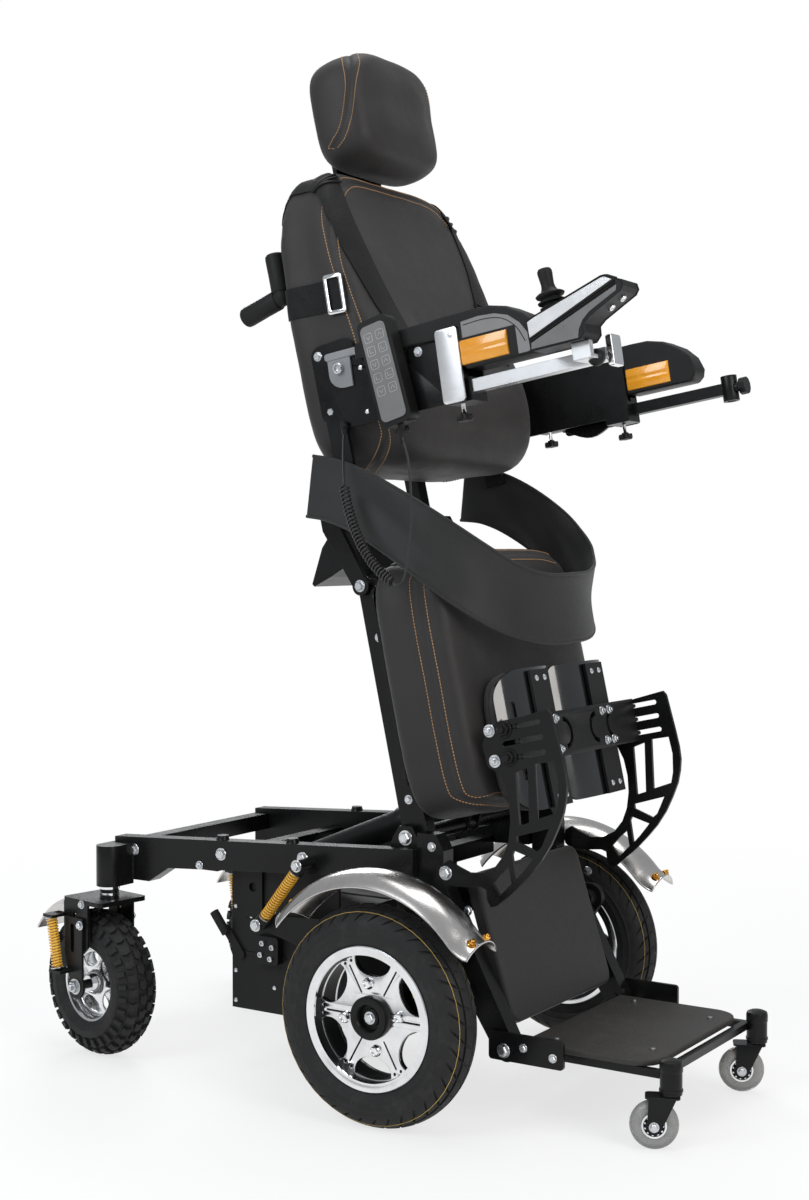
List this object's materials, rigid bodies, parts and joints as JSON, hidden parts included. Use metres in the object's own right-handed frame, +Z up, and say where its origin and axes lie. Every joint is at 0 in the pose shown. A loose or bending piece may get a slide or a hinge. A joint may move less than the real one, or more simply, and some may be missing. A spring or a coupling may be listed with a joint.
{
  "type": "standing wheelchair",
  "caption": "Powered standing wheelchair drawn standing: rising seat on a linked backrest, knee block, footplate, sprung drive wheels, trailing casters, stick controller and hand control.",
  "frame": {"origin": "middle of the footprint on the floor", "axes": "+X forward, +Y to the chair's left, +Z up"},
  "size_m": [1.2214, 0.73, 1.7527],
  "materials": {
    "frame_black": "satin black powder coat",
    "black_plastic": "fine grained moulding",
    "gloss_shell": "glossy moulding",
    "battery_case": "dark grey case",
    "black_leather": "soft synthetic leather",
    "webbing": "woven band and padded cloth",
    "grip_rubber": "soft rubber",
    "polished_alloy": "polished and brushed",
    "spring_gold": "golden yellow coat",
    "tyre_black": "matt tread",
    "grey_polyurethane": "translucent grey tread",
    "rod_chrome": "hard chrome"
  },
  "bodies": {
    "chassis": {"side_rails": "frame_black", "cross_tubes": "frame_black", "leg_posts": "frame_black", "calf_panel": "black_plastic", "battery_box": "frame_black", "batteries": "battery_case", "knee_plates": "frame_black", "actuator_body": "black_plastic"},
    "knee_block": {"knee_bar": "frame_black", "knee_shells": "gloss_shell", "knee_pads": "black_leather"},
    "footrest": {"footplate_frame": "frame_black", "footplate_board": "black_plastic"},
    "seat": {"seat_frame": "frame_black", "seat_cushion": "black_leather"},
    "lift_rod": {"actuator_rod": "rod_chrome"},
    "link": {"link_bar": "frame_black"},
    "back": {"back_frame": "frame_black", "back_cushion": "black_leather", "harness_straps": "webbing", "hip_belt": "webbing", "push_handles": "grip_rubber"},
    "headrest": {"headrest_stem": "frame_black", "headrest_cushion": "black_leather"},
    "arm_right": {"arm_panel_right": "black_plastic", "arm_pad_right": "gloss_shell", "handset": "black_plastic", "handset_cord": "grip_rubber", "handset_curl": "grip_rubber"},
    "arm_left": {"arm_panel_left": "black_plastic", "arm_pad_left": "gloss_shell"},
    "control_bar": {"joystick_bar": "polished_alloy", "controller": "black_plastic"},
    "stick_ring": {"joystick_gimbal": "black_plastic"},
    "stick": {"joystick": "black_plastic"},
    "left_bar": {"tray_bar": "frame_black"},
    "drive_unit_right": {"drive_unit_right": "frame_black", "fender_right": "polished_alloy", "drive_spring_right": "spring_gold"},
    "drive_wheel_right": {"drive_rim_right": "polished_alloy", "drive_tyre_right": "tyre_black"},
    "release_lever_right": {"release_lever_right": "grip_rubber"},
    "caster_fork_right": {"caster_fork_right": "frame_black", "caster_spring_right": "spring_gold"},
    "caster_arm_right": {"caster_arm_right": "frame_black"},
    "caster_wheel_right": {"caster_wheel_right": "tyre_black"},
    "front_fork_right": {"front_fork_right": "frame_black"},
    "front_wheel_right": {"front_wheel_right": "grey_polyurethane"},
    "drive_unit_left": {"drive_unit_left": "frame_black", "fender_left": "polished_alloy", "drive_spring_left": "spring_gold"},
    "drive_wheel_left": {"drive_rim_left": "polished_alloy", "drive_tyre_left": "tyre_black"},
    "release_lever_left": {"release_lever_left": "grip_rubber"},
    "caster_fork_left": {"caster_fork_left": "frame_black", "caster_spring_left": "spring_gold"},
    "caster_arm_left": {"caster_arm_left": "frame_black"},
    "caster_wheel_left": {"caster_wheel_left": "tyre_black"},
    "front_fork_left": {"front_fork_left": "frame_black"},
    "front_wheel_left": {"front_wheel_left": "grey_polyurethane"}
  },
  "joints": [
    {"name": "seat_lift", "type": "hinge", "parent": "chassis", "child": "seat", "pos_m": [0.13138, 0, 0.432], "axis": [0, 1, 0], "range_deg": [-77.5, 0], "deforming": ["hip_belt"]},
    {"name": "back_level", "type": "hinge", "parent": "seat", "child": "back", "pos_m": [0.04069, 0, 0.84107], "axis": [0, 1, 0], "range_deg": [0, 77.5]},
    {"name": "link_swing", "type": "hinge", "parent": "chassis", "child": "link", "pos_m": [0.06138, 0, 0.394], "axis": [0, 1, 0], "range_deg": [-77.5, 0]},
    {"name": "lift_stroke", "type": "slide", "parent": "chassis", "child": "lift_rod", "axis": [0.9267, 0, 0.3757], "range_m": [-0.0648, 0]},
    {"name": "headrest_slide", "type": "slide", "parent": "back", "child": "headrest", "axis": [-0.225, 0, 0.9744], "range_m": [0, 0.06]},
    {"name": "arm_flip_right", "type": "hinge", "parent": "back", "child": "arm_right", "pos_m": [0.04681, -0.249, 1.19245], "axis": [0, 1, 0], "range_deg": [-85, 0]},
    {"name": "arm_flip_left", "type": "hinge", "parent": "back", "child": "arm_left", "pos_m": [0.04681, 0.249, 1.19245], "axis": [0, 1, 0], "range_deg": [-85, 0]},
    {"name": "control_bar_slide", "type": "slide", "parent": "arm_right", "child": "control_bar", "axis": [0.9877, 0, 0.1564], "range_m": [-0.06, 0.04]},
    {"name": "left_bar_slide", "type": "slide", "parent": "arm_left", "child": "left_bar", "axis": [0.9877, 0, 0.1564], "range_m": [-0.05, 0.05]},
    {"name": "stick_pitch", "type": "hinge", "parent": "control_bar", "child": "stick_ring", "pos_m": [0.47624, -0.3266, 1.24265], "axis": [0, 1, 0], "range_deg": [-12, 12], "stiffness_Nm_per_rad": 0.6},
    {"name": "stick_roll", "type": "hinge", "parent": "stick_ring", "child": "stick", "pos_m": [0.47624, -0.3266, 1.24265], "axis": [0.9646, 0, 0.2636], "range_deg": [-12, 12], "stiffness_Nm_per_rad": 0.6},
    {"name": "knee_slide", "type": "slide", "parent": "chassis", "child": "knee_block", "axis": [0.9763, 0, 0.2164], "range_m": [0, 0.02]},
    {"name": "foot_flip", "type": "hinge", "parent": "chassis", "child": "footrest", "pos_m": [0.32838, 0, 0.119], "axis": [0, 1, 0], "range_deg": [-75, 0]},
    {"name": "drive_bounce_right", "type": "hinge", "parent": "chassis", "child": "drive_unit_right", "pos_m": [0.25338, -0.219, 0.28], "axis": [0, 1, 0], "range_deg": [0, 4], "stiffness_Nm_per_rad": 260, "springref_deg": -14.32, "deforming": ["drive_spring_right"]},
    {"name": "drive_spin_right", "type": "hinge", "parent": "drive_unit_right", "child": "drive_wheel_right", "pos_m": [0.16338, -0.321, 0.175], "axis": [0, 1, 0], "continuous": true},
    {"name": "lever_release_right", "type": "hinge", "parent": "chassis", "child": "release_lever_right", "pos_m": [-0.20662, -0.19, 0.2], "axis": [0, 1, 0], "range_deg": [0, 32]},
    {"name": "caster_swivel_right", "type": "hinge", "parent": "chassis", "child": "caster_fork_right", "pos_m": [-0.45262, -0.257, 0.3], "axis": [0, 0, 1], "continuous": true},
    {"name": "caster_bounce_right", "type": "slide", "parent": "caster_fork_right", "child": "caster_arm_right", "axis": [0, 0, 1], "range_m": [0, 0.015], "stiffness_N_per_m": 40000, "springref_m": -0.012, "deforming": ["caster_spring_right"]},
    {"name": "caster_roll_right", "type": "hinge", "parent": "caster_arm_right", "child": "caster_wheel_right", "pos_m": [-0.47625, -0.25283, 0.13], "axis": [0.1736, 0.9848, 0], "continuous": true},
    {"name": "front_swivel_right", "type": "hinge", "parent": "footrest", "child": "front_fork_right", "pos_m": [0.59338, -0.17, 0.1], "axis": [0, 0, 1], "continuous": true},
    {"name": "front_roll_right", "type": "hinge", "parent": "front_fork_right", "child": "front_wheel_right", "pos_m": [0.57072, -0.18057, 0.0375], "axis": [-0.4226, 0.9063, 0], "continuous": true},
    {"name": "drive_bounce_left", "type": "hinge", "parent": "chassis", "child": "drive_unit_left", "pos_m": [0.25338, 0.219, 0.28], "axis": [0, 1, 0], "range_deg": [0, 4], "stiffness_Nm_per_rad": 260, "springref_deg": -14.32, "deforming": ["drive_spring_left"]},
    {"name": "drive_spin_left", "type": "hinge", "parent": "drive_unit_left", "child": "drive_wheel_left", "pos_m": [0.16338, 0.321, 0.175], "axis": [0, 1, 0], "continuous": true},
    {"name": "lever_release_left", "type": "hinge", "parent": "chassis", "child": "release_lever_left", "pos_m": [-0.20662, 0.19, 0.2], "axis": [0, 1, 0], "range_deg": [0, 32]},
    {"name": "caster_swivel_left", "type": "hinge", "parent": "chassis", "child": "caster_fork_left", "pos_m": [-0.45262, 0.257, 0.3], "axis": [0, 0, 1], "continuous": true},
    {"name": "caster_bounce_left", "type": "slide", "parent": "caster_fork_left", "child": "caster_arm_left", "axis": [0, 0, 1], "range_m": [0, 0.015], "stiffness_N_per_m": 40000, "springref_m": -0.012, "deforming": ["caster_spring_left"]},
    {"name": "caster_roll_left", "type": "hinge", "parent": "caster_arm_left", "child": "caster_wheel_left", "pos_m": [-0.47625, 0.26117, 0.13], "axis": [0.1736, 0.9848, 0], "continuous": true},
    {"name": "front_swivel_left", "type": "hinge", "parent": "footrest", "child": "front_fork_left", "pos_m": [0.59338, 0.17, 0.1], "axis": [0, 0, 1], "continuous": true},
    {"name": "front_roll_left", "type": "hinge", "parent": "front_fork_left", "child": "front_wheel_left", "pos_m": [0.57072, 0.15943, 0.0375], "axis": [-0.4226, 0.9063, 0], "continuous": true}
  ],
  "couplings": [
    {"joint": "back_level", "follows": "seat_lift", "ratio": -1},
    {"joint": "link_swing", "follows": "seat_lift", "ratio": 1},
    {"joint": "lift_stroke", "follows": "seat_lift", "m_per_rad": 0.0477}
  ]
}
